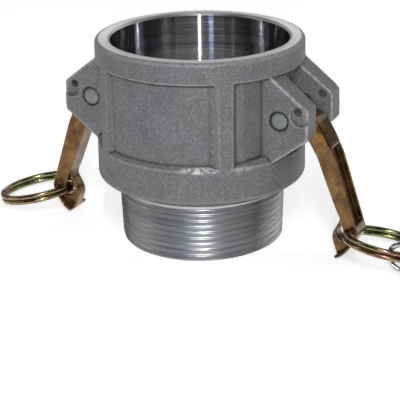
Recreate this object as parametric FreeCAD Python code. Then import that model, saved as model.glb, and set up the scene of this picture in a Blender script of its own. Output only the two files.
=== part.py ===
import FreeCAD, Part
import math
import os

# Cam and groove coupler, 2 inch size: a socket with two cam arms, and a male pipe thread.
# Lengths are in millimetres. The origin is on the axis at the thread's end face. +Z points
# up to the socket, and +X points to the right-hand arm of the photograph.

# Body casting, along the axis
body_height = 75.0
thread_length = 21.5
thread_end_r = 29.72
thread_taper = 1.0 / 32.0
thread_taper_end = 17.5
thread_chamfer = 0.8
shoulder_r = 32.0
shoulder_rise = 0.5
band_r = 37.9
band_corner = 1.8
cone_top_z = 25.3
rim_r = 37.4
rim_edge = 1.3

# Body casting, inside
waterway_r = 25.4
socket_r = 31.9
socket_chamfer = 0.8
gasket_seat_z = 29.4
gasket_groove_height = 6.6
gasket_groove_depth = 1.5

# Recessed panels in the wall of the casting
panel_r = 36.1
panel_bottom_z = 37.0
panel_top_z = 67.3
panel_ledge = 1.7
front_panel_half = 17.2
front_panel_shift = 1.1
front_panel_run = 3.5
side_panel_x = 25.4
side_panel_dip_r = 34.6

# Lugs that carry the arms
lug_outer_y = 15.9
slot_root_half = 6.6
slot_tip_half = 7.75
lug_root_x = 27.0
lug_top_x = 34.0
lug_top_z = 67.4
lug_tip_x = 47.5
lug_tip_top_z = 56.9
lug_tip_bottom_z = 46.3
lug_bottom_x = 33.0
lug_bottom_z = 35.4
lug_tip_corner = 2.0
slot_top_z = 66.0
slot_bottom_z = 41.5
slot_root_x = 20.0

# Pivots of the arms and the holes for the safety clips
pivot_x = 36.8
pivot_z = 52.1
pin_r = 3.6
pin_press = 0.02
pin_length = 30.6
arm_pin_clearance = 0.06
clip_hole_x = 43.6
clip_hole_z = 56.1
clip_hole_r = 1.45
boss_r = 3.45
boss_depth = 0.5
boss_offset_x = 1.2
boss_offset_z = -1.3

# Gasket
gasket_press = 0.03
gasket_step = 0.3
gasket_thickness = 6.35

# Cam arms. In an arm's own frame the pivot is the origin, "down" runs along the handle
# and "out" points away from the body.
arm_tilt = 18.2
cam_half_width = 6.25
handle_half_width = 4.8
rib_half_width = 4.2
tab_half_width = 2.7
tail_half_width = 6.0
handle_out = 11.3
handle_end = 48.5
handle_end_out = 11.0
flange = 2.0
end_flange = 1.05
nose_r = 5.15
nose_out = -3.6
nose_down = 0.6
head_r = 4.75
groove_start = 15.9
groove_end = 44.9
groove_half_width = 3.0
groove_depth = 1.6
eye_out = 5.7
eye_down = 47.4
eye_r = 3.05
tail_out = 1.0
tail_down = 54.85
waist_start = 15.0
waist_depth = 0.9

# Pull rings, two turns of wire
ring_mean_r = 15.0
ring_wire_r = 0.95
ring_drop = 0.1
right_ring_tilt = 7.5
right_ring_roll = 12.0
left_ring_tilt = 12.0

# Safety clips, wire hairpins whose eyes hang on the right ring
clip_wire_r = 1.0
clip_eye_r = 4.9
clip_length = 41.5
clip_eye_end = 60.0
clip_valley = 0.7
clip_bump = 5.3
clip_notch = -2.7
clip_flare = 0.5
front_clip_at = -52.0
front_clip_heading = -1.0
front_clip_slope = 2.6
rear_clip_at = -30.0
rear_clip_heading = 2.0
rear_clip_slope = -0.4
front_clip_hang = 0.0
rear_clip_hang = 0.5

os.makedirs("parts", exist_ok=True)


def vec(x, y, z):
    return FreeCAD.Vector(x, y, z)


def line(p, q):
    return Part.makeLine(p, q)


def spline(points):
    curve = Part.BSplineCurve()
    curve.interpolate(points)
    return curve.toShape()


def outline(points):
    """Closed face through points, with straight sides."""
    return Part.Face(Part.makePolygon(points + [points[0]]))


def slab(face, y0, y1):
    """Prism of a face drawn in the XZ plane, from y0 to y1."""
    moved = face.copy()
    moved.translate(vec(0, y0, 0))
    return moved.extrude(vec(0, y1 - y0, 0))


def ring_solid(r_out, r_in, z0, z1):
    outer = Part.makeCylinder(r_out, z1 - z0, vec(0, 0, z0))
    return outer.cut(Part.makeCylinder(r_in, z1 - z0 + 2, vec(0, 0, z0 - 1)))


def mirrored(shape):
    """The same piece on the -X side."""
    return shape.mirror(vec(0, 0, 0), vec(1, 0, 0))


def circle_edges(shape, r, z):
    found = []
    for edge in shape.Edges:
        box = edge.BoundBox
        flat = box.ZLength < 1e-6 and abs(box.ZMin - z) < 1e-3
        if flat and abs(box.XMax - r) < 1e-2 and abs(box.XMin + r) < 1e-2:
            found.append(edge)
    return found


def casting_outside():
    thread_top_r = thread_end_r + thread_taper_end * thread_taper
    points = [
        vec(0, 0, 0),
        vec(thread_end_r - thread_chamfer, 0, 0),
        vec(thread_end_r + thread_chamfer * thread_taper, 0, thread_chamfer),
        vec(thread_top_r, 0, thread_taper_end),
        vec(thread_top_r, 0, thread_length),
        vec(shoulder_r, 0, thread_length + shoulder_rise),
        vec(band_r, 0, cone_top_z),
        vec(rim_r, 0, body_height),
        vec(0, 0, body_height),
    ]
    solid = outline(points).revolve(vec(0, 0, 0), vec(0, 0, 1), 360)
    solid = solid.makeFillet(band_corner, circle_edges(solid, band_r, cone_top_z))
    return solid.makeFillet(rim_edge, circle_edges(solid, rim_r, body_height))


def panel_side(x, side):
    """Slope at one side of the front panel, from its floor out past the wall's surface."""
    foot = vec(x, -math.sqrt(panel_r ** 2 - x ** 2), panel_bottom_z)
    rib_x = x + side * front_panel_run
    top = vec(rib_x, -math.sqrt((band_r - 0.2) ** 2 - rib_x ** 2), panel_bottom_z)
    beyond = foot.add(top.sub(foot).multiply(2))
    return [foot, beyond, vec(beyond.x, -band_r - 4, panel_bottom_z)]


def panel_recesses():
    """Everything outside the recessed panel walls, between the two bands."""
    height = panel_top_z - panel_bottom_z
    ledge_z = panel_bottom_z + panel_ledge
    far = band_r + 4
    shell = outline([
        vec(panel_r, 0, ledge_z),
        vec(band_r, 0, panel_bottom_z),
        vec(far, 0, panel_bottom_z),
        vec(far, 0, panel_top_z),
        vec(panel_r, 0, panel_top_z),
    ]).revolve(vec(0, 0, 0), vec(0, 0, 1), 360)
    # the front panel rises softly to both sides
    left = front_panel_shift - front_panel_half
    right = front_panel_shift + front_panel_half
    points = [vec(left, -20, panel_bottom_z), vec(right, -20, panel_bottom_z)]
    points += panel_side(right, 1) + panel_side(left, -1)[::-1]
    front = outline(points).extrude(vec(0, 0, height))
    side = Part.makeBox(far, far, height, vec(side_panel_x, -far, panel_bottom_z))
    cuts = [front.common(shell), side.common(shell)]
    # the side panel dips towards the lug
    floor_y = -math.sqrt(panel_r ** 2 - (side_panel_x + 2) ** 2)
    dip = outline([
        vec(side_panel_x + 2, floor_y, ledge_z),
        vec(math.sqrt(side_panel_dip_r ** 2 - lug_outer_y ** 2), -lug_outer_y + 0.5, ledge_z),
        vec(far, -lug_outer_y + 0.5, ledge_z),
        vec(far, -far, ledge_z),
    ]).extrude(vec(0, 0, height - panel_ledge))
    cuts.append(dip)
    right = cuts[0].fuse(cuts[1:])
    both = right.fuse(mirrored(right))
    back = both.mirror(vec(0, 0, 0), vec(0, 1, 0))
    return both.fuse(back)


def lug_plate():
    """Side view of a right-hand lug."""
    face = outline([
        vec(lug_root_x, 0, lug_bottom_z),
        vec(lug_bottom_x, 0, lug_bottom_z),
        vec(lug_tip_x, 0, lug_tip_bottom_z),
        vec(lug_tip_x, 0, lug_tip_top_z),
        vec(lug_top_x, 0, lug_top_z),
        vec(lug_root_x, 0, lug_top_z),
    ])
    plate = slab(face, -lug_outer_y, lug_outer_y)
    tips = []
    for edge in plate.Edges:
        box = edge.BoundBox
        if box.YLength > 2 * lug_outer_y - 0.1 and abs(box.XMin - lug_tip_x) < 1e-3:
            tips.append(edge)
    return plate.makeFillet(lug_tip_corner, tips)


def across(r, x, z):
    """Round bar along Y, used to drill across a pair of lugs."""
    return Part.makeCylinder(r, 2 * lug_outer_y + 4, vec(x, -lug_outer_y - 2, z), vec(0, 1, 0))


def lug_bosses():
    """Shallow round recess on each outer lug face, about the clip hole."""
    low = Part.makeCylinder(boss_r, boss_depth + 2,
                            vec(clip_hole_x + boss_offset_x, -lug_outer_y - 2, clip_hole_z + boss_offset_z),
                            vec(0, 1, 0))
    high = low.mirror(vec(0, 0, 0), vec(0, 1, 0))
    return low.fuse(high)


def slot_wedge(x, z0, z1):
    """Gap between two lugs, from x outwards."""
    root = slot_root_half
    slant = (slot_tip_half - slot_root_half) / (lug_tip_x - lug_top_x)
    end_x = lug_tip_x + 4
    end = slot_tip_half + 4 * slant
    start = root + slant * max(0.0, x - lug_top_x)
    points = [vec(x, -start, z0), vec(end_x, -end, z0), vec(end_x, end, z0), vec(x, start, z0)]
    if x < lug_top_x:
        points.insert(1, vec(lug_top_x, -root, z0))
        points.insert(4, vec(lug_top_x, root, z0))
    return outline(points).extrude(vec(0, 0, z1 - z0))


def make_body():
    shape = casting_outside().cut(panel_recesses())
    lugs = lug_plate()
    shape = shape.fuse([lugs, mirrored(lugs)])
    # socket, gasket groove and waterway
    groove_r = socket_r + gasket_groove_depth
    shape = shape.cut(Part.makeCylinder(waterway_r, body_height, vec(0, 0, -1)))
    shape = shape.cut(Part.makeCylinder(socket_r, body_height, vec(0, 0, gasket_seat_z)))
    shape = shape.cut(Part.makeCylinder(groove_r, gasket_groove_height, vec(0, 0, gasket_seat_z)))
    mouth = Part.makeCone(socket_r, socket_r + 2 * socket_chamfer, 2 * socket_chamfer,
                          vec(0, 0, body_height - socket_chamfer))
    shape = shape.cut(mouth)
    # slots for the cams, a little wider at the tips of the lugs
    slot = slot_wedge(slot_root_x, slot_bottom_z, slot_top_z)
    below = slot_wedge(panel_r, lug_bottom_z - 1, slot_bottom_z)
    below = below.cut(Part.makeCylinder(band_r, panel_bottom_z, vec(0, 0, 0)))
    cuts = slot.fuse(below).fuse(across(pin_r - pin_press, pivot_x, pivot_z))
    cuts = cuts.fuse(across(clip_hole_r, clip_hole_x, clip_hole_z)).fuse(lug_bosses())
    shape = shape.cut(cuts.fuse(mirrored(cuts)))
    return shape.removeSplitter()


def make_gasket():
    outer_r = socket_r + gasket_groove_depth + gasket_press
    return ring_solid(outer_r, waterway_r + gasket_step, gasket_seat_z, gasket_seat_z + gasket_thickness)


def make_pin():
    return Part.makeCylinder(pin_r, pin_length, vec(pivot_x, -pin_length / 2, pivot_z), vec(0, 1, 0))


def at(out, down):
    """Point of an arm's side view, in the arm's own frame."""
    return vec(out, 0, -down)


def arm_side_view():
    end = at(handle_end_out, handle_end)
    tail = at(tail_out, tail_down)
    run = tail.sub(end)
    inward = vec(run.z, 0, -run.x)
    inward.normalize()
    inner_tail = tail.add(inward.multiply(-end_flange if inward.z < 0 else end_flange))
    crown = spline([at(5.4, 0.8), at(6.6, 2.6), at(8.1, 3.9), at(9.0, 5.6), at(9.6, 8.1),
                    at(10.3, 11.2), at(10.9, 15.0), at(handle_out, 19.5)])
    edges = [
        line(at(0, -head_r), at(1.5, -4.4)),
        line(at(1.5, -4.4), at(4.2, -1.6)),
        line(at(4.2, -1.6), at(5.4, 0.8)),
        crown,
        line(at(handle_out, 19.5), at(handle_out, 46.4)),
        spline([at(handle_out, 46.4), end, at(8.0, 51.5), at(4.8, 53.7), tail]),
        line(tail, inner_tail),
        line(inner_tail, at(0.5, 53.2)),
        line(at(0.5, 53.2), at(0.4, 49.2)),
        spline([at(0.4, 49.2), at(0.9, 46.8), at(2.5, 44.7), at(4.6, 42.7), at(5.9, 39.6)]),
        spline([at(5.9, 39.6), at(5.4, 33.0), at(4.9, 25.0), at(4.6, 18.4)]),
        line(at(4.6, 18.4), at(3.9, 11.8)),
        spline([at(3.9, 11.8), at(3.0, 8.4), at(0.6, 6.6), at(-2.2, 5.4)]),
        line(at(-2.2, 5.4), at(0, -head_r)),
    ]
    return Part.Face(Part.Wire(edges))


def arm_front_view():
    """Half widths down the arm, extruded along the out direction."""
    h = handle_half_width
    t = tail_half_width
    face = outline([
        vec(0, -h, 12), vec(0, h, 12), vec(0, h, -handle_end), vec(0, t, -tail_down), vec(0, t, -60),
        vec(0, -t, -60), vec(0, -t, -tail_down), vec(0, -h, -handle_end),
    ])
    face.translate(vec(-20, 0, 0))
    return face.extrude(vec(50, 0, 0))


def arm_flank():
    """One side of the head, sloping out from the crown's strip to the lug's inner face."""
    strip = [at(-2.0, 0), at(-2.0, 5.1), at(0.6, 6.4), at(3.1, 8.2), at(4.0, 11.7), at(4.55, 15.0),
             at(5.1, 18.2), at(11.0, 18.2), at(10.7, 15.0), at(10.1, 11.2), at(9.4, 8.2), at(8.8, 5.9),
             at(7.9, 4.2), at(6.4, 2.9), at(5.2, 1.1), at(4.0, -1.3), at(1.9, -3.6)]
    wide = [at(-1.9, 0), at(-1.9, 5.0), at(0.7, 6.3), at(3.1, 8.3), at(3.7, 9.9), at(4.0, 10.7),
            at(4.4, 11.4), at(6.6, 11.6), at(7.1, 10.3), at(7.2, 8.8), at(7.0, 7.3), at(6.7, 5.9),
            at(6.1, 4.7), at(5.3, 3.5), at(4.7, 2.0), at(3.8, 0.4), at(1.8, -2.6)]
    wires = []
    for points, y in ((strip, handle_half_width - 0.2), (wide, cam_half_width)):
        moved = [p.add(vec(0, y, 0)) for p in points]
        wires.append(Part.makePolygon(moved + [moved[0]]))
    return Part.makeLoft(wires, True, True)


def bar(out0, out1, half0, half1, down0, down1):
    """Box beside the handle between two half widths, on both sides."""
    one = Part.makeBox(out1 - out0, half1 - half0, down1 - down0, vec(out0, half0, -down1))
    return one.fuse(one.mirror(vec(0, 0, 0), vec(0, 1, 0)))


def make_arm():
    shape = slab(arm_side_view(), -tail_half_width, tail_half_width).common(arm_front_view())
    # rib narrower than the outer flange, and a thinner tab round the eye
    inner = handle_out - flange
    shape = shape.cut(bar(inner - waist_depth, inner, rib_half_width - waist_depth, 9, waist_start, 47))
    shape = shape.cut(bar(-9, inner - waist_depth + 0.01, rib_half_width, 9, waist_start + 1.5, 43))
    around_eye = [at(5.2, 38.1), at(9.9, 46.6), at(9.9, 48.35), at(7.6, 50.85), at(4.4, 52.95), at(0.8, 53.8),
                  at(-7.7, 53.8), at(-7.7, 45.4)]
    side = outline(around_eye)
    side.translate(vec(0, tab_half_width, 0))
    side = side.extrude(vec(0, 9, 0))
    side = side.fuse(side.mirror(vec(0, 0, 0), vec(0, 1, 0)))
    keep = Part.makeBox(40, 20, 80, vec(inner - 40, -10, -60))
    shape = shape.cut(side.common(keep))
    # the head: a round bar on the pin, the cam nose, and the flanks under the crown
    width = 2 * cam_half_width
    nose = Part.makeCylinder(nose_r, width, at(nose_out, nose_down).add(vec(0, -cam_half_width, 0)),
                             vec(0, 1, 0))
    head = Part.makeCylinder(head_r, width, vec(0, -cam_half_width, 0), vec(0, 1, 0))
    flank = arm_flank()
    shape = shape.fuse([nose, head, flank, flank.mirror(vec(0, 0, 0), vec(0, 1, 0))])
    # channel in the outer face, eye and pivot hole
    shape = shape.cut(Part.makeBox(5, 2 * groove_half_width, groove_end - groove_start,
                                   vec(handle_out - groove_depth, -groove_half_width, -groove_end)))
    shape = shape.cut(Part.makeCylinder(eye_r, 20, vec(eye_out, -10, -eye_down), vec(0, 1, 0)))
    shape = shape.cut(Part.makeCylinder(pin_r + arm_pin_clearance, 20, vec(0, -10, 0), vec(0, 1, 0)))
    shape = shape.removeSplitter()
    shape.rotate(vec(0, 0, 0), vec(0, 1, 0), -arm_tilt)
    shape.translate(vec(pivot_x, 0, pivot_z))
    return shape


def eye_point():
    """Centre of the right arm's eye in the part's frame."""
    t = math.radians(arm_tilt)
    x = pivot_x + eye_down * math.sin(t) + eye_out * math.cos(t)
    z = pivot_z - eye_down * math.cos(t) + eye_out * math.sin(t)
    return vec(x, 0, z)


def flat_ring():
    """Two turns side by side, centred so that the wire passes through the origin."""
    half = ring_wire_r
    low = vec(ring_mean_r - half, 0, -half)
    high = vec(ring_mean_r + half, 0, half)
    edges = [
        Part.Arc(vec(low.x, 0, -half), vec(ring_mean_r, 0, -2 * half), vec(high.x, 0, -half)).toShape(),
        line(vec(high.x, 0, -half), vec(high.x, 0, half)),
        Part.Arc(vec(high.x, 0, half), vec(ring_mean_r, 0, 2 * half), vec(low.x, 0, half)).toShape(),
        line(vec(low.x, 0, half), low),
    ]
    shape = Part.Face(Part.Wire(edges)).revolve(vec(0, 0, 0), vec(0, 0, 1), 360)
    shape.translate(vec(ring_mean_r, 0, 0))
    return shape


def placed_ring(shape, side):
    """Right ring for side 1, left ring for side -1."""
    if side > 0:
        shape.rotate(vec(0, 0, 0), vec(1, 0, 0), -right_ring_roll)
        shape.rotate(vec(0, 0, 0), vec(0, 1, 0), right_ring_tilt)
    else:
        shape.rotate(vec(0, 0, 0), vec(0, 0, 1), 180)
        shape.rotate(vec(0, 0, 0), vec(0, 1, 0), -left_ring_tilt)
    eye = eye_point()
    shape.translate(vec(side * eye.x, 0, eye.z - ring_drop))
    return shape


def ring_wire_point(degrees):
    """Point on the right ring's centre line, counted round from its outer end."""
    a = math.radians(degrees)
    point = Part.Vertex(vec(ring_mean_r + ring_mean_r * math.cos(a), ring_mean_r * math.sin(a), 0))
    return placed_ring(point, 1).Point


def make_clip(at_degrees, heading, slope, hang):
    r = clip_eye_r
    c = clip_length
    tail = math.radians(clip_eye_end)
    eye_end = vec(r * math.cos(tail), 0, r * math.sin(tail))
    edges = [
        line(vec(clip_length, 0, -r), vec(0, 0, -r)),
        Part.Arc(vec(0, 0, -r), vec(-r, 0, 0), eye_end).toShape(),
    ]
    leg = Part.BSplineCurve()
    points = [
        eye_end,
        vec(0.214 * c, 0, 2 * clip_valley),
        vec(0.393 * c, 0, clip_valley),
        vec(0.530 * c, 0, 0.76 * clip_bump),
        vec(0.646 * c, 0, clip_bump),
        vec(0.749 * c, 0, 0.6 * clip_bump),
        vec(0.840 * c, 0, clip_notch),
        vec(c, 0, clip_flare),
    ]
    leg.interpolate(points, False)
    edges.append(leg.toShape())
    path = Part.Wire(edges)
    section = Part.Wire(Part.makeCircle(clip_wire_r, vec(clip_length, 0, -r), vec(1, 0, 0)))
    shape = path.makePipeShell([section], True, False)
    shape.rotate(vec(0, 0, 0), vec(0, 1, 0), slope)
    shape.rotate(vec(0, 0, 0), vec(0, 0, 1), heading)
    shape.translate(ring_wire_point(at_degrees).add(vec(0, 0, -hang)))
    return shape


def export(name, shape):
    solids = shape.Solids
    if len(solids) != 1 or not shape.isValid():
        print("look at", name, "solids", len(solids), "valid", shape.isValid())
    solids[0].exportStep("parts/" + name + ".step")
    box = shape.BoundBox
    print("%-20s x %.1f..%.1f  y %.1f..%.1f  z %.1f..%.1f  volume %.0f" % (
        name, box.XMin, box.XMax, box.YMin, box.YMax, box.ZMin, box.ZMax, shape.Volume))


arm = make_arm()
pin = make_pin()
export("body", make_body())
export("gasket", make_gasket())
export("pivot_pin_right", pin)
export("pivot_pin_left", mirrored(pin))
export("cam_arm_right", arm)
export("cam_arm_left", mirrored(arm))
export("pull_ring_right", placed_ring(flat_ring(), 1))
export("pull_ring_left", placed_ring(flat_ring(), -1))
export("safety_clip_front", make_clip(front_clip_at, front_clip_heading, front_clip_slope,
                                    front_clip_hang))
export("safety_clip_rear", make_clip(rear_clip_at, rear_clip_heading, rear_clip_slope,
                                   rear_clip_hang))
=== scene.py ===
import math

import bmesh
import bpy
import numpy as np
from mathutils import Matrix, Vector
from mathutils.kdtree import KDTree


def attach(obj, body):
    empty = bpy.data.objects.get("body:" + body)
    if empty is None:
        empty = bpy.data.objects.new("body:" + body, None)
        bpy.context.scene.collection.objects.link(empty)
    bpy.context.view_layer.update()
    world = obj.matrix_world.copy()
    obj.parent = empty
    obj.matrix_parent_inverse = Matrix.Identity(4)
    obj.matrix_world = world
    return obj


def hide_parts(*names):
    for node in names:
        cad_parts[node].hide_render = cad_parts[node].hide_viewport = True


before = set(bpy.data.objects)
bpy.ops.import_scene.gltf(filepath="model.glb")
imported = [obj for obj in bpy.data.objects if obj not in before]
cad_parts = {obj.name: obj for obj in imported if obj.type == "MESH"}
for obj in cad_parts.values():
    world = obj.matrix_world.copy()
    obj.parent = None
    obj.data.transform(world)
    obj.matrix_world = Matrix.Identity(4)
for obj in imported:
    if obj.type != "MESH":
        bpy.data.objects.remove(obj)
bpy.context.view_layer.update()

MM = 0.001

# Sizes of the part in millimetres, as in its construction source
BORE_R = 31.9
WATERWAY_R = 25.4
BODY_TOP = 75.0
SEAT_Z = 29.4
GROOVE_TOP = 36.0
GROOVE_R = 33.4
GASKET_HEIGHT = 6.35
THREAD_TOP = 21.5
THREAD_R = 29.72
TAPER = 1 / 32
TAPER_END = 17.5
PITCH = 2.209
THREAD_DEPTH = 1.45
PIVOT = (36.8, 52.1)
PIN_R = 3.6
PIN_END = 15.3
SLOT_HALF = 6.6
SLOT_Z = (41.5, 62.0)
LUG_Y = 15.9
CLIP_HOLE = (43.6, 56.1)
CLIP_HOLE_R = 1.45
RECESS_R = 3.45
RECESS_OFFSET = (1.2, -1.3)
RECESS_DEPTH = 0.9
RING_R = 15.0
WIRE_R = 0.95
ARM_TILT = 18.2
HANDLE_OUT = 11.3
HANDLE_HALF = 4.8
SIDE_BAR = (14.6, 46.4)
POCKET = (15.9, 44.9)
POCKET_BORDER = 0.8
POCKET_DEPTH = 2.2


# Meshes

def add_mesh(name, points, faces, smooth=True):
    """Object from points in millimetres."""
    mesh = bpy.data.meshes.new(name)
    mesh.from_pydata((np.asarray(points, float) * MM).tolist(), [], [tuple(f) for f in faces])
    mesh.update()
    obj = bpy.data.objects.new(name, mesh)
    bpy.context.scene.collection.objects.link(obj)
    if smooth:
        mesh.shade_smooth()
    return obj


def clean(obj, distance=1e-6):
    work = bmesh.new()
    work.from_mesh(obj.data)
    bmesh.ops.remove_doubles(work, verts=work.verts, dist=distance)
    bmesh.ops.dissolve_degenerate(work, edges=work.edges, dist=distance)
    bmesh.ops.recalc_face_normals(work, faces=work.faces)
    work.to_mesh(obj.data)
    work.free()


def sharp_by_angle(obj, degrees=35):
    """Smooth shading that breaks at real edges."""
    obj.data.shade_smooth()
    obj.data.set_sharp_from_angle(angle=math.radians(degrees))


def ring_faces(rings, steps, wrap=False):
    """Quads between neighbouring rings of points, and from the last ring back to the first if they wrap."""
    faces = []
    for i in range(rings if wrap else rings - 1):
        k = (i + 1) % rings
        for j in range(steps):
            n = (j + 1) % steps
            faces.append((i * steps + j, i * steps + n, k * steps + n, k * steps + j))
    return faces


def capped_faces(rings, steps):
    """The same, closed by a flat face at both ends."""
    last = (rings - 1) * steps
    return ring_faces(rings, steps) + [tuple(range(steps)), tuple(range(last, last + steps))]


def lathe(name, profile, steps=192):
    """Solid of revolution about Z from a closed profile of (radius, height) in millimetres."""
    angles = np.linspace(0, 2 * math.pi, steps, endpoint=False)
    points = [(r * math.cos(a), r * math.sin(a), z) for r, z in profile for a in angles]
    obj = add_mesh(name, points, ring_faces(len(profile), steps, wrap=True))
    clean(obj)
    return obj


def apply_modifiers(obj):
    bpy.context.view_layer.update()
    graph = bpy.context.evaluated_depsgraph_get()
    mesh = bpy.data.meshes.new_from_object(obj.evaluated_get(graph), depsgraph=graph)
    obj.modifiers.clear()
    obj.data = mesh


def combine(obj, how, *others):
    """Boolean of an object with others, which are used up."""
    for other in others:
        m = obj.modifiers.new("combine", "BOOLEAN")
        m.operation = how
        m.solver = "EXACT"
        m.object = other
        apply_modifiers(obj)
    for other in others:
        bpy.data.objects.remove(other)


def cut(obj, *cutters):
    combine(obj, "DIFFERENCE", *cutters)


def block(name, low, high):
    (x0, y0, z0), (x1, y1, z1) = low, high
    points = [(x, y, z) for x in (x0, x1) for y in (y0, y1) for z in (z0, z1)]
    faces = [(0, 1, 3, 2), (4, 6, 7, 5), (0, 4, 5, 1), (2, 3, 7, 6), (0, 2, 6, 4), (1, 5, 7, 3)]
    obj = add_mesh(name, points, faces, smooth=False)
    clean(obj)
    return obj


def copy_of(node, name):
    """New object with a CAD node's mesh."""
    obj = bpy.data.objects.new(name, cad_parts[node].data.copy())
    bpy.context.scene.collection.objects.link(obj)
    obj.data.materials.clear()
    clean(obj, 1e-7)
    return obj


def read_points(mesh):
    values = np.empty(len(mesh.vertices) * 3)
    mesh.vertices.foreach_get("co", values)
    return values.reshape(-1, 3)


def read_normals(mesh):
    values = np.empty(len(mesh.vertices) * 3)
    mesh.vertex_normals.foreach_get("vector", values)
    return values.reshape(-1, 3)


class Links:
    """The edges of a mesh, for means over each point's neighbours."""

    def __init__(self, mesh):
        self.count = len(mesh.vertices)
        edges = np.empty(len(mesh.edges) * 2, int)
        mesh.edges.foreach_get("vertices", edges)
        self.a, self.b = edges.reshape(-1, 2).T
        self.edges_at = np.bincount(edges, minlength=self.count)

    def mean(self, values):
        if values.ndim == 2:
            return np.stack([self.mean(column) for column in values.T], 1)
        total = np.bincount(self.a, values[self.b], self.count)
        total += np.bincount(self.b, values[self.a], self.count)
        return total / self.edges_at


def relax(obj, rounds, share=0.5):
    """Rounds the edges of an even mesh by moving each point towards its neighbours."""
    links = Links(obj.data)
    points = read_points(obj.data)
    for _ in range(rounds):
        points += share * (links.mean(points) - points)
    obj.data.vertices.foreach_set("co", points.ravel())
    obj.data.update()


def soften(obj, voxel, rounds, keep=1.0, more=None):
    """Even remesh of a solid, rounded like a casting, then thinned out.

    The function more gives each point's share of an extra rounding."""
    m = obj.modifiers.new("even", "REMESH")
    m.mode = "VOXEL"
    m.voxel_size = voxel * MM
    m.adaptivity = 0
    apply_modifiers(obj)
    relax(obj, rounds)
    if more:
        relax(obj, 3 * rounds, 0.5 * more(read_points(obj.data) / MM)[:, None])
    bend = bend_of(obj)
    if keep < 1:
        m = obj.modifiers.new("thin", "DECIMATE")
        m.ratio = keep
        apply_modifiers(obj)
    obj.data.shade_smooth()
    return bend


def rod(name, x, z, radius, y0, y1, steps=48):
    """Round cutter along Y."""
    turns = [2 * math.pi * k / steps for k in range(steps)]
    points = [(x + radius * math.cos(a), y, z + radius * math.sin(a)) for y in (y0, y1) for a in turns]
    obj = add_mesh(name, points, capped_faces(2, steps), smooth=False)
    clean(obj)
    return obj


def bend_of(obj):
    """The points of an even mesh, and how much it stands out there (positive) or is hollow, in 1/mm."""
    points = read_points(obj.data)
    links = Links(obj.data)
    length = np.linalg.norm(points[links.a] - points[links.b], axis=1).mean()
    bend = ((points - links.mean(points)) * read_normals(obj.data)).sum(1) / length ** 2 * MM
    for _ in range(2):
        bend = 0.5 * bend + 0.5 * links.mean(bend)
    return points, bend


def store_bend(obj, points, bend):
    """Keeps the bend on a mesh that was thinned or cut after it was measured."""
    tree = KDTree(len(points))
    for k, p in enumerate(points):
        tree.insert(p, k)
    tree.balance()
    values = [bend[tree.find(v.co)[1]] for v in obj.data.vertices]
    obj.data.attributes.new("bend", "FLOAT", "POINT").data.foreach_set("value", values)


# Materials

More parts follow.
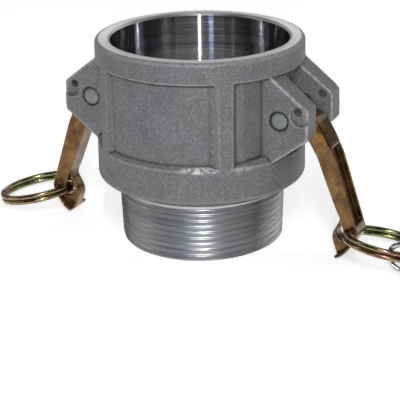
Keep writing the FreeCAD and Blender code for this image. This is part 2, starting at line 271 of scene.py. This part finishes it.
class Shader:
    """One procedural material on a Principled shader."""

    def __init__(self, name, **values):
        self.material = bpy.data.materials.new(name)
        self.material.use_nodes = True
        self.tree = self.material.node_tree
        self.base = self.tree.nodes["Principled BSDF"]
        for key, value in values.items():
            socket = self.base.inputs[key.replace("_", " ")]
            socket.default_value = (*value, 1) if isinstance(value, tuple) else value
        self.place = self.node("ShaderNodeTexCoord").outputs["Object"]

    def node(self, kind, **settings):
        n = self.tree.nodes.new(kind)
        for key, value in settings.items():
            setattr(n, key, value)
        return n

    def link(self, a, b):
        self.tree.links.new(a, b)

    def noise(self, size, detail=4, rough=0.55, place=None, distortion=0.0):
        """Noise with features about size millimetres wide."""
        n = self.node("ShaderNodeTexNoise")
        self.link(place or self.place, n.inputs["Vector"])
        n.inputs["Scale"].default_value = 1000 / size
        n.inputs["Detail"].default_value = detail
        n.inputs["Roughness"].default_value = rough
        n.inputs["Distortion"].default_value = distortion
        return n.outputs["Fac"]

    def cells(self, size, place=None):
        n = self.node("ShaderNodeTexVoronoi")
        self.link(place or self.place, n.inputs["Vector"])
        n.inputs["Scale"].default_value = 1000 / size
        return n.outputs["Distance"]

    def ramp(self, source, stops):
        n = self.node("ShaderNodeValToRGB")
        ramp = n.color_ramp
        while len(ramp.elements) < len(stops):
            ramp.elements.new(0.5)
        for element, (at, colour) in zip(ramp.elements, stops):
            element.position = at
            element.color = (*colour, 1) if isinstance(colour, tuple) else (colour,) * 3 + (1,)
        self.link(source, n.inputs["Fac"])
        return n.outputs["Color"]

    def mix(self, amount, a, b):
        n = self.node("ShaderNodeMix", data_type="RGBA")
        for socket, value in ((n.inputs[0], amount), (n.inputs[6], a), (n.inputs[7], b)):
            if isinstance(value, bpy.types.NodeSocket):
                self.link(value, socket)
            elif isinstance(value, tuple):
                socket.default_value = (*value, 1)
            else:
                socket.default_value = value
        return n.outputs[2]

    def math(self, how, a, b=0.0):
        n = self.node("ShaderNodeMath", operation=how)
        for socket, value in zip(n.inputs, (a, b)):
            if isinstance(value, bpy.types.NodeSocket):
                self.link(value, socket)
            else:
                socket.default_value = value
        return n.outputs[0]

    def vector(self, how, a, b=None):
        n = self.node("ShaderNodeVectorMath", operation=how)
        self.link(a, n.inputs[0])
        if b is not None:
            socket = n.inputs["Scale"] if how == "SCALE" else n.inputs[1]
            if isinstance(b, bpy.types.NodeSocket):
                self.link(b, socket)
            else:
                socket.default_value = b
        return n.outputs[0]

    def attribute(self, name):
        return self.node("ShaderNodeAttribute", attribute_name=name).outputs["Fac"]

    def span(self, source, low, high, start, end):
        """Straight change from start to end while the source goes from low to high."""
        n = self.node("ShaderNodeMapRange")
        for key, value in (("From Min", low), ("From Max", high), ("To Min", start), ("To Max", end)):
            n.inputs[key].default_value = value
        self.link(source, n.inputs["Value"])
        return n.outputs["Result"]

    def colour(self, source):
        self.link(source, self.base.inputs["Base Color"])

    def rough(self, source, low, high):
        self.link(self.span(source, 0.0, 1.0, low, high), self.base.inputs["Roughness"])

    def bumps(self, *layers):
        """Each layer is (height source, depth in millimetres)."""
        normal = None
        for source, depth in layers:
            n = self.node("ShaderNodeBump")
            n.inputs["Strength"].default_value = 1.0
            n.inputs["Distance"].default_value = depth * MM
            self.link(source, n.inputs["Height"])
            if normal:
                self.link(normal, n.inputs["Normal"])
            normal = n.outputs["Normal"]
        self.link(normal, self.base.inputs["Normal"])

    def turned(self):
        """Coordinates that change only with radius and height, for lathe marks.

        The direction around the axis is kept as self.around."""
        split = self.node("ShaderNodeSeparateXYZ")
        self.link(self.place, split.inputs[0])
        x, y, z = split.outputs
        r = self.math("SQRT", self.math("ADD", self.math("MULTIPLY", x, x), self.math("MULTIPLY", y, y)))
        join = self.node("ShaderNodeCombineXYZ")
        self.link(r, join.inputs[0])
        self.link(z, join.inputs[2])
        tangent = self.node("ShaderNodeTangent", direction_type="RADIAL", axis="Z")
        self.around = tangent.outputs[0]
        self.link(self.around, self.base.inputs["Tangent"])
        return join.outputs[0]


def casting_material():
    s = Shader("cast_aluminium", Metallic=0.15, Roughness=0.5, Specular_IOR_Level=0.3)
    grain = s.noise(0.7, 3, 0.8)
    speck = s.noise(1.3, 2, 0.5)
    tone = s.noise(22, 4, 0.5, distortion=0.4)
    stain = s.noise(7, 4, 0.6, distortion=0.6)
    pits = s.cells(0.9)
    bend = s.attribute("bend")
    base = s.ramp(grain, [(0.30, (0.085, 0.082, 0.081)),
                          (0.50, (0.205, 0.200, 0.198)),
                          (0.70, (0.40, 0.395, 0.39))])
    cool = s.mix(0.40, base, (0.190, 0.188, 0.207))
    warm = s.mix(0.35, base, (0.220, 0.208, 0.185))
    body = s.mix(s.ramp(tone, [(0.38, 0.0), (0.62, 1.0)]), cool, warm)
    body = s.mix(s.ramp(stain, [(0.45, 0.0), (0.75, 0.40)]), body, (0.11, 0.106, 0.102))
    crumbs = s.ramp(speck, [(0.35, 0.3), (0.55, 1.0)])
    # convex edges painted lighter: partly real wear, partly a painted highlight where the edges catch the
    # light
    edge = s.math("MULTIPLY", s.span(bend, 0.05, 0.26, 0.0, 0.75), crumbs)
    worn_edge_highlight = s.mix(edge, body, (0.52, 0.515, 0.51))
    # painted highlight: the lit ledge under the front panel made paler in crumbs
    ledge_highlight = s.math("MULTIPLY", s.attribute("ledge_highlight"), s.ramp(speck, [(0.40, 0.0), (0.56, 1.0)]))
    bright = s.mix(ledge_highlight, worn_edge_highlight, (0.72, 0.70, 0.66))
    # hollows and inner corners painted darker: painted shade
    s.colour(s.mix(s.span(bend, -0.03, -0.17, 0.0, 0.85), bright, (0.055, 0.05, 0.045)))
    s.rough(grain, 0.40, 0.62)
    s.bumps((speck, 0.06), (grain, 0.06), (s.ramp(pits, [(0.0, 0.0), (0.25, 1.0)]), 0.03))
    return s.material


def turned_material(name, low, high, roughness, anisotropy, mark, tilt):
    """Aluminium off the lathe.

    The mark is the width of its marks in millimetres, and the tilt is the slope of the fine grooves
    in them, which spread a reflection across the grooves and not along them."""
    s = Shader(name, Metallic=1.0, Roughness=roughness, Anisotropic=anisotropy, Anisotropic_Rotation=0.25)
    place = s.turned()
    s.colour(s.ramp(s.noise(1.5, 3, 0.6, place), [(0.35, low), (0.65, high)]))
    fine = s.node("ShaderNodeTexWhiteNoise", noise_dimensions="3D")
    s.link(s.vector("SCALE", place, 1e5), fine.inputs["Vector"])
    steepest = s.span(s.noise(mark, 2, 0.5, place), 0.3, 0.7, 1.2 * tilt, 2.8 * tilt)
    slope = s.math("MULTIPLY", s.math("SUBTRACT", fine.outputs["Value"], 0.5), steepest)
    normal = s.node("ShaderNodeNewGeometry").outputs["Normal"]
    across = s.vector("CROSS_PRODUCT", normal, s.around)
    tipped = s.vector("ADD", normal, s.vector("SCALE", across, slope))
    s.link(s.vector("NORMALIZE", tipped), s.base.inputs["Normal"])
    return s.material


def brass_material():
    s = Shader("cast_brass", Metallic=1.0, Roughness=0.3, Coat_Weight=0.5, Coat_Roughness=0.1)
    grain = s.noise(0.6, 3, 0.7)
    tone = s.noise(6, 4, 0.6, distortion=0.5)
    bend = s.attribute("bend")
    base = s.ramp(tone, [(0.32, (0.080, 0.036, 0.010)),
                         (0.50, (0.180, 0.088, 0.022)),
                         (0.70, (0.33, 0.175, 0.048))])
    spots = s.mix(s.ramp(grain, [(0.36, 0.55), (0.58, 0.0)]), base, (0.06, 0.03, 0.012))
    # convex edges painted lighter: partly real wear, partly a painted highlight where the edges catch the
    # light
    worn_edge_highlight = s.mix(s.span(bend, 0.1, 0.6, 0.0, 0.2), spots, (0.45, 0.30, 0.16))
    # hollows and creases painted darker: painted shade
    s.colour(s.mix(s.span(bend, -0.05, -0.35, 0.0, 0.8), worn_edge_highlight, (0.02, 0.010, 0.004)))
    s.rough(grain, 0.24, 0.42)
    s.bumps((s.noise(1.6, 3, 0.6), 0.05), (grain, 0.02))
    return s.material


def ring_material():
    """Yellow zinc with its own patchy rainbow film, painted pink at the front and olive at the back as a
    painted reflection.
    """
    s = Shader("yellow_zinc", Metallic=1.0, Roughness=0.2)
    split = s.node("ShaderNodeSeparateXYZ")
    s.link(s.place, split.inputs[0])
    # front painted pink and back olive: a painted reflection of the film's colour, which changes with the
    # angle of view
    side = s.span(split.outputs[1], -0.006, 0.004, 0.0, 1.0)
    tone = s.noise(6, 2, 0.5, distortion=1.0)
    front = s.ramp(tone, [(0.32, (0.17, 0.075, 0.065)),
                          (0.45, (0.34, 0.20, 0.15)),
                          (0.56, (0.30, 0.27, 0.11)),
                          (0.68, (0.24, 0.14, 0.11))])
    back = s.ramp(tone, [(0.32, (0.13, 0.13, 0.06)),
                         (0.50, (0.30, 0.30, 0.15)),
                         (0.68, (0.21, 0.22, 0.10))])
    s.colour(s.mix(side, front, back))
    s.rough(s.noise(0.8), 0.13, 0.27)
    s.bumps((s.noise(0.5), 0.01))
    return s.material


def steel_material(name, colour, smoothest, roughest, metallic=1.0):
    s = Shader(name, Metallic=metallic)
    darker = tuple(c * 0.78 for c in colour)
    s.colour(s.mix(s.ramp(s.noise(2.5), [(0.35, 0.0), (0.65, 1.0)]), colour, darker))
    s.rough(s.noise(0.6), smoothest, roughest)
    s.bumps((s.noise(0.4), 0.006))
    return s.material


def rubber_material():
    s = Shader("black_rubber", Roughness=0.55)
    s.colour(s.ramp(s.noise(3), [(0.3, (0.010, 0.010, 0.011)), (0.7, (0.022, 0.022, 0.023))]))
    s.rough(s.noise(0.7), 0.45, 0.65)
    s.bumps((s.noise(0.35), 0.01))
    return s.material


CASTING = casting_material()
BORE = turned_material("turned_bore", (0.36, 0.365, 0.38), (0.60, 0.60, 0.61),
                       roughness=0.13, anisotropy=1.0, mark=0.5, tilt=0.35)
RIM = turned_material("turned_rim", (0.50, 0.50, 0.51), (0.62, 0.62, 0.63),
                      roughness=0.38, anisotropy=0.5, mark=0.5, tilt=0.10)
THREAD = turned_material("cut_thread", (0.40, 0.40, 0.41), (0.60, 0.60, 0.61),
                         roughness=0.34, anisotropy=0.4, mark=0.4, tilt=0.10)
BRASS = brass_material()
ZINC = ring_material()
WIRE = steel_material("bright_wire", (0.66, 0.66, 0.65), smoothest=0.10, roughest=0.22)
PIN = steel_material("zinc_pin", (0.25, 0.265, 0.245), smoothest=0.28, roughest=0.5, metallic=0.6)
RUBBER = rubber_material()


def finish_piece(obj, material, body, slot, *nodes):
    if material:
        obj.data.materials.clear()
        obj.data.materials.append(material)
    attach(obj, body)
    if nodes:
        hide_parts(*nodes)


# Camera

def make_camera():
    """The photograph's own view, from a fit to its rims, thread and pins."""
    distance, elevation, azimuth, roll = 0.480, 22.05, 26.3, -1.06
    aside, height = -0.98, 11.8
    focal_px, photo_px, sensor = 1288, 400, 36
    e, a, k = (math.radians(v) for v in (elevation, azimuth, roll))
    back = Vector((math.cos(e) * math.sin(a), -math.cos(e) * math.cos(a), math.sin(e)))
    target = Vector((math.cos(a) * aside, math.sin(a) * aside, height)) * MM
    right = (-back).cross(Vector((0, 0, 1))).normalized()
    up = right.cross(-back)
    right, up = (math.cos(k) * right + math.sin(k) * up, math.cos(k) * up - math.sin(k) * right)
    data = bpy.data.cameras.new("camera")
    data.sensor_width = sensor
    data.lens = focal_px / photo_px * sensor
    data.clip_start, data.clip_end = 0.01, 20
    camera = bpy.data.objects.new("camera", data)
    bpy.context.scene.collection.objects.link(camera)
    place = Matrix((right, up, back)).transposed().to_4x4()
    place.translation = target + back * distance
    camera.matrix_world = place
    bpy.context.scene.camera = camera


make_camera()


# Body

def crest_r(z):
    return THREAD_R + np.minimum(z, TAPER_END) * TAPER


def thread_r(z, turn):
    """Radius of the pipe thread at a height, where turn is the angle over a full turn."""
    crest_share, flank_share, curve = 0.10, 0.80, 0.03
    plain_top, run_out, end_chamfer = 0.25, 1.6, 0.8
    phase = (z / PITCH - turn) % 1.0
    flank = np.clip((np.abs(phase - 0.5) * 2 - crest_share) / flank_share, 0, 1)
    flank = flank + curve * np.sin(flank * math.pi) * np.sign(0.5 - flank)
    fade = np.clip((THREAD_TOP - plain_top - z) / run_out, 0, 1)
    depth = THREAD_DEPTH * flank * fade * fade * (3 - 2 * fade)
    chamfer = THREAD_R - end_chamfer + z
    return np.minimum(crest_r(z) - depth, chamfer)


def make_core():
    """Thread, end face, waterway, gasket seat and socket bore: all that is cut on a lathe."""
    steps, rows_per_turn = 240, 14
    rise = PITCH / rows_per_turn
    rows = int(math.ceil((THREAD_TOP + PITCH) / rise)) + 1
    points = []
    for j in range(steps):
        turn = j / steps
        z = np.clip(-PITCH + rise * np.arange(rows) + PITCH * turn, 0, THREAD_TOP)
        r = thread_r(z, turn)
        a = 2 * math.pi * turn
        points += [(q * math.cos(a), q * math.sin(a), h) for q, h in zip(r, z)]
    faces = []
    for j in range(steps):
        n = (j + 1) % steps
        shift = rows_per_turn if n == 0 else 0
        for i in range(rows - 1):
            low, high = min(i + shift, rows - 1), min(i + 1 + shift, rows - 1)
            faces.append((j * rows + i, n * rows + low, n * rows + high, j * rows + i + 1))
    # inside profile, from the end face up through the socket and back down within the casting
    bevel, lip = 0.7, 0.85
    hidden_low, hidden_mid, hidden_top = 28.6, 34.3, 33.2
    inside = [(WATERWAY_R + bevel, 0), (WATERWAY_R, bevel), (WATERWAY_R, SEAT_Z),
              (GROOVE_R, SEAT_Z), (GROOVE_R, GROOVE_TOP), (BORE_R, GROOVE_TOP),
              (BORE_R, BODY_TOP - lip), (BORE_R + 0.05, BODY_TOP - 0.78),
              (BORE_R + 0.78, BODY_TOP - 0.04), (BORE_R + lip, BODY_TOP),
              (35.95, BODY_TOP), (36.1, BODY_TOP - 0.12), (36.0, BODY_TOP - 0.6),
              (hidden_top, BODY_TOP - 0.6), (hidden_top, GROOVE_TOP + 1.2),
              (hidden_mid, GROOVE_TOP + 0.8), (hidden_mid, SEAT_Z - 0.9),
              (hidden_low, SEAT_Z - 0.9), (hidden_low, THREAD_TOP)]
    first = len(points)
    turns = [2 * math.pi * j / steps for j in range(steps)]
    points += [(r * math.cos(a), r * math.sin(a), z) for r, z in inside for a in turns]
    for j in range(steps):
        n = (j + 1) % steps
        row = first
        faces.append((j * rows, first + j, first + n, n * rows))
        for i in range(len(inside) - 1):
            faces.append((row + j, row + steps + j, row + steps + n, row + n))
            row += steps
        faces.append((row + j, j * rows + rows - 1, n * rows + rows - 1, row + n))
    obj = add_mesh("machined_core", points, faces)
    clean(obj, 2e-7)
    low, high = SLOT_Z
    cut(obj, block("slot_a", (20, -SLOT_HALF, low), (60, SLOT_HALF, high)),
        block("slot_b", (-60, -SLOT_HALF, low), (-20, SLOT_HALF, high)))
    materials = [BORE, RIM, THREAD]
    for material in materials:
        obj.data.materials.append(material)
    for face in obj.data.polygons:
        r = math.hypot(face.center.x, face.center.y) / MM
        z = face.center.z / MM
        if z < THREAD_TOP + 0.5 and r > WATERWAY_R + 0.4:
            face.material_index = materials.index(THREAD)
        elif z > BODY_TOP - 0.9 and face.normal.z > 0.3:
            face.material_index = materials.index(RIM)
    sharp_by_angle(obj, 32)
    return obj


def store_ledge_highlight(obj):
    """Painted highlight where the ledge under the front panel catches the light, at its right end and
    corner.
    """
    points = read_points(obj.data) / MM
    turn = np.degrees(np.arctan2(points[:, 0], -points[:, 1]))
    radius = np.hypot(points[:, 0], points[:, 1])

    def patch(at, half_turn, low, high):
        level = (low + high) / 2 - points[:, 2]
        return np.clip(1.3 - ((turn - at) / half_turn) ** 2 - (level / (high - low) * 2) ** 2, 0, 1)

    inner_side = 34
    # painted highlight on the lit top of the ledge, strongest at its right end
    ledge_highlight = np.maximum(patch(25, 11, 36.2, 38.4), 0.4 * patch(47, 9, 36.0, 38.0))
    ledge_highlight[radius < inner_side] = 0
    obj.data.attributes.new("ledge_highlight", "FLOAT", "POINT").data.foreach_set("value", ledge_highlight)


def make_casting():
    """The rough casting: the CAD body without its thread and its machined inside, with rounded edges."""
    obj = copy_of("body", "casting")
    # hollow for the core, a little smaller than it, and all that lies below the shoulder
    low_r, mid_r, top_r, rim_r = 29.2, 33.9, 32.8, 35.7
    shoulder, rim = THREAD_TOP - 0.02, BODY_TOP - 0.25
    below, above, wide = -5, 90, 40
    inside = lathe("inside", [(0, below), (wide, below), (wide, shoulder), (low_r, shoulder),
                              (low_r, SEAT_Z - 0.4), (mid_r, SEAT_Z - 0.4), (mid_r, GROOVE_TOP + 0.5),
                              (top_r, GROOVE_TOP + 0.9), (top_r, rim), (rim_r, rim),
                              (rim_r, above), (0, above)])
    cut(obj, inside)
    points, bend = soften(obj, voxel=0.34, rounds=4, keep=0.4)
    # drilled holes have plain edges
    for x, z, r in ((*PIVOT, PIN_R), (*CLIP_HOLE, CLIP_HOLE_R)):
        bend[np.hypot(np.abs(points[:, 0]) / MM - x, points[:, 2] / MM - z) < r + 0.9] = 0
    drills = []
    clear, floor = 20, LUG_Y - RECESS_DEPTH
    for side in (1, -1):
        x, z = PIVOT
        drills.append(rod("pin_drill", side * x, z, PIN_R, -clear, clear))
        x, z = CLIP_HOLE
        drills.append(rod("clip_drill", side * x, z, CLIP_HOLE_R, -clear, clear))
        x, z = side * (x + RECESS_OFFSET[0]), z + RECESS_OFFSET[1]
        drills.append(rod("recess_near", x, z, RECESS_R, -clear, -floor, 64))
        drills.append(rod("recess_far", x, z, RECESS_R, floor, clear, 64))
    cut(obj, *drills)
    store_bend(obj, points, bend)
    store_ledge_highlight(obj)
    sharp_by_angle(obj, 50)
    return obj


core = make_core()
casting = make_casting()
finish_piece(casting, CASTING, "coupler_body", "casting", "body")
finish_piece(core, None, "coupler_body", "casting")


# Gasket and pins

def make_gasket():
    """Flat ring with bevelled edges and a shallow groove in its top."""
    r0, r1 = WATERWAY_R + 0.3, GROOVE_R
    z0, z1 = SEAT_Z, SEAT_Z + GASKET_HEIGHT
    m = (r0 + r1) / 2
    bevel = 0.5
    obj = lathe("gasket_ring", [(r0 + bevel, z0), (r1 - bevel, z0), (r1, z0 + bevel),
                                (r1, z1 - bevel), (r1 - bevel, z1),
                                (m + 1.6, z1), (m + 1.1, z1 - bevel), (m - 1.1, z1 - bevel), (m - 1.6, z1),
                                (r0 + bevel, z1), (r0, z1 - bevel), (r0, z0 + bevel)])
    sharp_by_angle(obj, 60)
    return obj


finish_piece(make_gasket(), RUBBER, "coupler_body", "seal", "gasket")


def make_pin(side):
    """Pivot pin: a plain middle and straight knurls at both ends, with flat heads."""
    x0, z0 = PIVOT
    teeth, tooth_height = 20, 0.7
    steps = 10 * teeth
    half = PIN_END
    profile = [(half - 0.05, 0.0, 0), (half - 0.03, 1.2, 0), (half, 2.0, 0), (half - 0.02, 2.55, 0),
               (half - 0.12, 2.78, 0), (half - 0.3, 2.86, 1), (half - 0.6, 2.88, 1), (half - 5.8, 2.9, 1),
               (half - 6.2, 3.54, 0), (half - 6.4, PIN_R, 0)]
    profile += [(-y, r, k) for y, r, k in reversed(profile)]
    points = []
    for y, r, knurl in profile:
        for j in range(steps):
            a = 2 * math.pi * j / steps
            tooth = max(0.0, math.cos(teeth * a)) ** 5
            q = r + (tooth_height * tooth if knurl else 0)
            points.append((side * x0 + q * math.cos(a), y, z0 + q * math.sin(a)))
    obj = add_mesh("pin_right" if side > 0 else "pin_left", points, ring_faces(len(profile), steps))
    clean(obj, 1e-7)
    sharp_by_angle(obj, 40)
    return obj


finish_piece(make_pin(1), PIN, "coupler_body", "pin_steel", "pivot_pin_right")
finish_piece(make_pin(-1), PIN, "coupler_body", "pin_steel", "pivot_pin_left")


# Arms

def head_bevel(side, face):
    """Cutter that slopes the end of an arm's head, above the pin, on one side of the arm."""
    section = [(3.3, 6.45), (5.2, 4.55), (7.0, 6.45)]
    angles = np.radians(np.linspace(8, 150, 15))
    points = [(side * (PIVOT[0] + r * math.cos(a)), face * y, PIVOT[1] + r * math.sin(a))
              for a in angles for r, y in section]
    obj = add_mesh("head_bevel", points, capped_faces(len(angles), len(section)), smooth=False)
    clean(obj)
    return obj


def arm_bar(name, section, down, sign):
    """Bar along an arm's handle, from its section of (out, y) and the two distances below the pivot."""
    c, t = math.cos(math.radians(ARM_TILT)), math.sin(math.radians(ARM_TILT))
    points = [(sign * (PIVOT[0] + d * t + out * c), y, PIVOT[1] - d * c + out * t)
              for d in down for out, y in section]
    obj = add_mesh(name, points, capped_faces(2, len(section)), smooth=False)
    clean(obj)
    return obj


def make_arm(side):
    """The CAD arm with a rounded side under its flange, a wider pocket in its face and softer edges."""
    obj = copy_of("cam_arm_" + side, "arm_casting_" + side)
    sign = 1 if side == "right" else -1
    section = [(10.6, 4.7), (9.2, 4.75), (7.6, 4.68), (6.2, 4.35), (6.2, 3.4), (10.6, 3.4)]
    combine(obj, "UNION", *(arm_bar("side", [(out, face * y) for out, y in section], SIDE_BAR, sign)
                            for face in (-1, 1)))
    half = HANDLE_HALF - POCKET_BORDER
    floor, clear = HANDLE_OUT - POCKET_DEPTH, HANDLE_OUT + 3
    pocket = [(floor, -half), (floor, half), (clear, half), (clear, -half)]
    cut(obj, head_bevel(sign, 1), head_bevel(sign, -1), arm_bar("pocket", pocket, POCKET, sign))
    crown_z, blend = 36.5, 4
    points, bend = soften(obj, voxel=0.2, rounds=12, keep=0.6,
                          more=lambda p: np.clip((p[:, 2] - crown_z) / blend, 0, 1))
    store_bend(obj, points, bend)
    return obj


finish_piece(make_arm("right"), BRASS, "arm_right", "arm_brass", "cam_arm_right")
finish_piece(make_arm("left"), BRASS, "arm_left", "arm_brass", "cam_arm_left")


# Rings and clips

def sweep(name, path, radius, sides=20):
    """Round wire along points in millimetres, with rounded ends."""
    path = np.asarray(path, float)
    tangents = np.gradient(path, axis=0)
    tangents /= np.linalg.norm(tangents, axis=1)[:, None]
    normal = np.cross(tangents[0], (0.31, 0.17, 0.93))
    normal /= np.linalg.norm(normal)
    rings = []
    for p, t in zip(path, tangents):
        normal = normal - t * normal.dot(t)
        normal /= np.linalg.norm(normal)
        rings.append((p, t, normal, np.cross(t, normal), radius))
    bevel = radius / 4
    p, t, u, v, r = rings[0]
    q, s, m, w, _ = rings[-1]
    rings = [(p - t * bevel, t, u, v, r - bevel)] + rings + [(q + s * bevel, s, m, w, r - bevel)]
    turns = [2 * math.pi * k / sides for k in range(sides)]
    points = [p + r * (math.cos(a) * u + math.sin(a) * v) for p, t, u, v, r in rings for a in turns]
    obj = add_mesh(name, points, capped_faces(len(rings), sides))
    clean(obj, 1e-8)
    sharp_by_angle(obj, 50)
    return obj


def ring_frame(node):
    """Centre and axis of a pull ring, measured on its CAD solid."""
    points = np.array([v.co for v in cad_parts[node].data.vertices]) / MM
    centre = (points.max(0) + points.min(0)) / 2
    _, _, axes = np.linalg.svd(points - points.mean(0), full_matrices=False)
    axis = axes[2] * (1 if axes[2][2] > 0 else -1)
    return centre, axis


def make_ring(side, start):
    """Split ring: two turns of wire that change over in one short step."""
    centre, axis = ring_frame("pull_ring_" + side)
    out = np.cross((0, 1, 0), axis) * (1 if side == "right" else -1)
    out /= np.linalg.norm(out)
    across = np.cross(axis, out)
    path = []
    steps, turns = 300, 1.97
    step_at, step_width = 0.5, 0.06
    for i in range(steps + 1):
        way = i / steps
        a = 2 * math.pi * turns * way + start
        t = min(max((way - step_at) / step_width + 0.5, 0), 1)
        height = -WIRE_R + 2 * WIRE_R * (t * t * (3 - 2 * t))
        path.append(centre + RING_R * (math.cos(a) * out + math.sin(a) * across) + height * axis)
    return sweep("split_ring_" + side, path, WIRE_R)


finish_piece(make_ring("right", 0.15), ZINC, "ring_right", "ring_steel", "pull_ring_right")
finish_piece(make_ring("left", 3.3), ZINC, "ring_left", "ring_steel", "pull_ring_left")

for clip_node in ("safety_clip_front", "safety_clip_rear"):
    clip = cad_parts[clip_node]
    clip.data.materials.clear()
    clip.data.materials.append(WIRE)


# Floor, light and world

PART_MIDDLE = 0.04


def seen_by_eye_or_gloss(tree, rest, seen):
    """Value that is seen for camera, glossy and transmission rays and rest for all others."""
    path = tree.nodes.new("ShaderNodeLightPath")
    total = path.outputs["Is Camera Ray"]
    for name in ("Is Glossy Ray", "Is Transmission Ray"):
        most = tree.nodes.new("ShaderNodeMath")
        most.operation = "MAXIMUM"
        tree.links.new(total, most.inputs[0])
        tree.links.new(path.outputs[name], most.inputs[1])
        total = most.outputs[0]
    value = tree.nodes.new("ShaderNodeMapRange")
    value.inputs["To Min"].default_value = rest
    value.inputs["To Max"].default_value = seen
    tree.links.new(total, value.inputs["Value"])
    return value.outputs["Result"]


def make_stage(glow):
    """Wide floor just under the part."""
    far, drop = 4000, 0.15
    corners = [(-far, -far, -drop), (far, -far, -drop), (far, far, -drop), (-far, far, -drop)]
    floor = add_mesh("floor", corners, [(0, 1, 2, 3)], smooth=False)
    s = Shader("pale_floor", Roughness=0.9)
    s.colour(s.ramp(s.noise(300), [(0.3, (0.86, 0.86, 0.86)), (0.7, (0.88, 0.88, 0.88))]))
    s.base.inputs["Specular IOR Level"].default_value = 0.1
    s.base.inputs["Emission Color"].default_value = (1, 1, 1, 1)
    s.link(seen_by_eye_or_gloss(s.tree, 0.0, glow), s.base.inputs["Emission Strength"])
    floor.data.materials.append(s.material)


def lamp(name, azimuth, elevation, distance, width, height, power, colour=(1, 1, 1)):
    """Area lamp that faces the part: degrees, metres and watts, with azimuths as for the camera."""
    data = bpy.data.lights.new(name, "AREA")
    data.shape = "RECTANGLE"
    data.size, data.size_y = width, height
    data.energy = power
    data.color = colour
    a, e = math.radians(azimuth), math.radians(elevation)
    back = Vector((math.sin(a) * math.cos(e), -math.cos(a) * math.cos(e), math.sin(e)))
    obj = bpy.data.objects.new(name, data)
    obj.location = back * distance + Vector((0, 0, PART_MIDDLE))
    obj.rotation_mode = "QUATERNION"
    obj.rotation_quaternion = back.to_track_quat("Z", "Y")
    bpy.context.scene.collection.objects.link(obj)


def make_world(level):
    world = bpy.data.worlds.new("studio")
    bpy.context.scene.world = world
    world.use_nodes = True
    background = world.node_tree.nodes["Background"]
    background.inputs["Color"].default_value = (1, 1, 1, 1)
    background.inputs["Strength"].default_value = level


make_stage(0.56)
lamp("key", 26.3, 30, 1.0, 0.03, 0.85, 5.6)
lamp("cool_strip", 10.5, 34, 1.0, 0.1, 0.85, 1.3, (0.55, 0.68, 1.0))
lamp("right_soft", 44, 36, 1.2, 0.4, 0.7, 0.25)
# thin strips whose reflections stand in the bore, left and right of the key's
lamp("strip_right", 116, 30, 1.0, 0.025, 0.95, 0.8)
lamp("strip_left", -63, 30, 1.0, 0.025, 0.95, 0.8)
lamp("strip_far_right", 146, 30, 1.0, 0.02, 0.95, 0.25)
lamp("strip_far_left", -93, 30, 1.0, 0.02, 0.95, 0.25)
lamp("back_right", 160, 26, 1.3, 0.8, 0.6, 1.3)
lamp("back_middle", 206, 26, 1.3, 1.0, 0.6, 2.5)
lamp("back_left", 250, 26, 1.3, 0.8, 0.6, 0.5)
lamp("top", 200, 80, 1.4, 1.0, 1.0, 1.9)
make_world(0.01)
bpy.context.scene.view_settings.view_transform = "Standard"
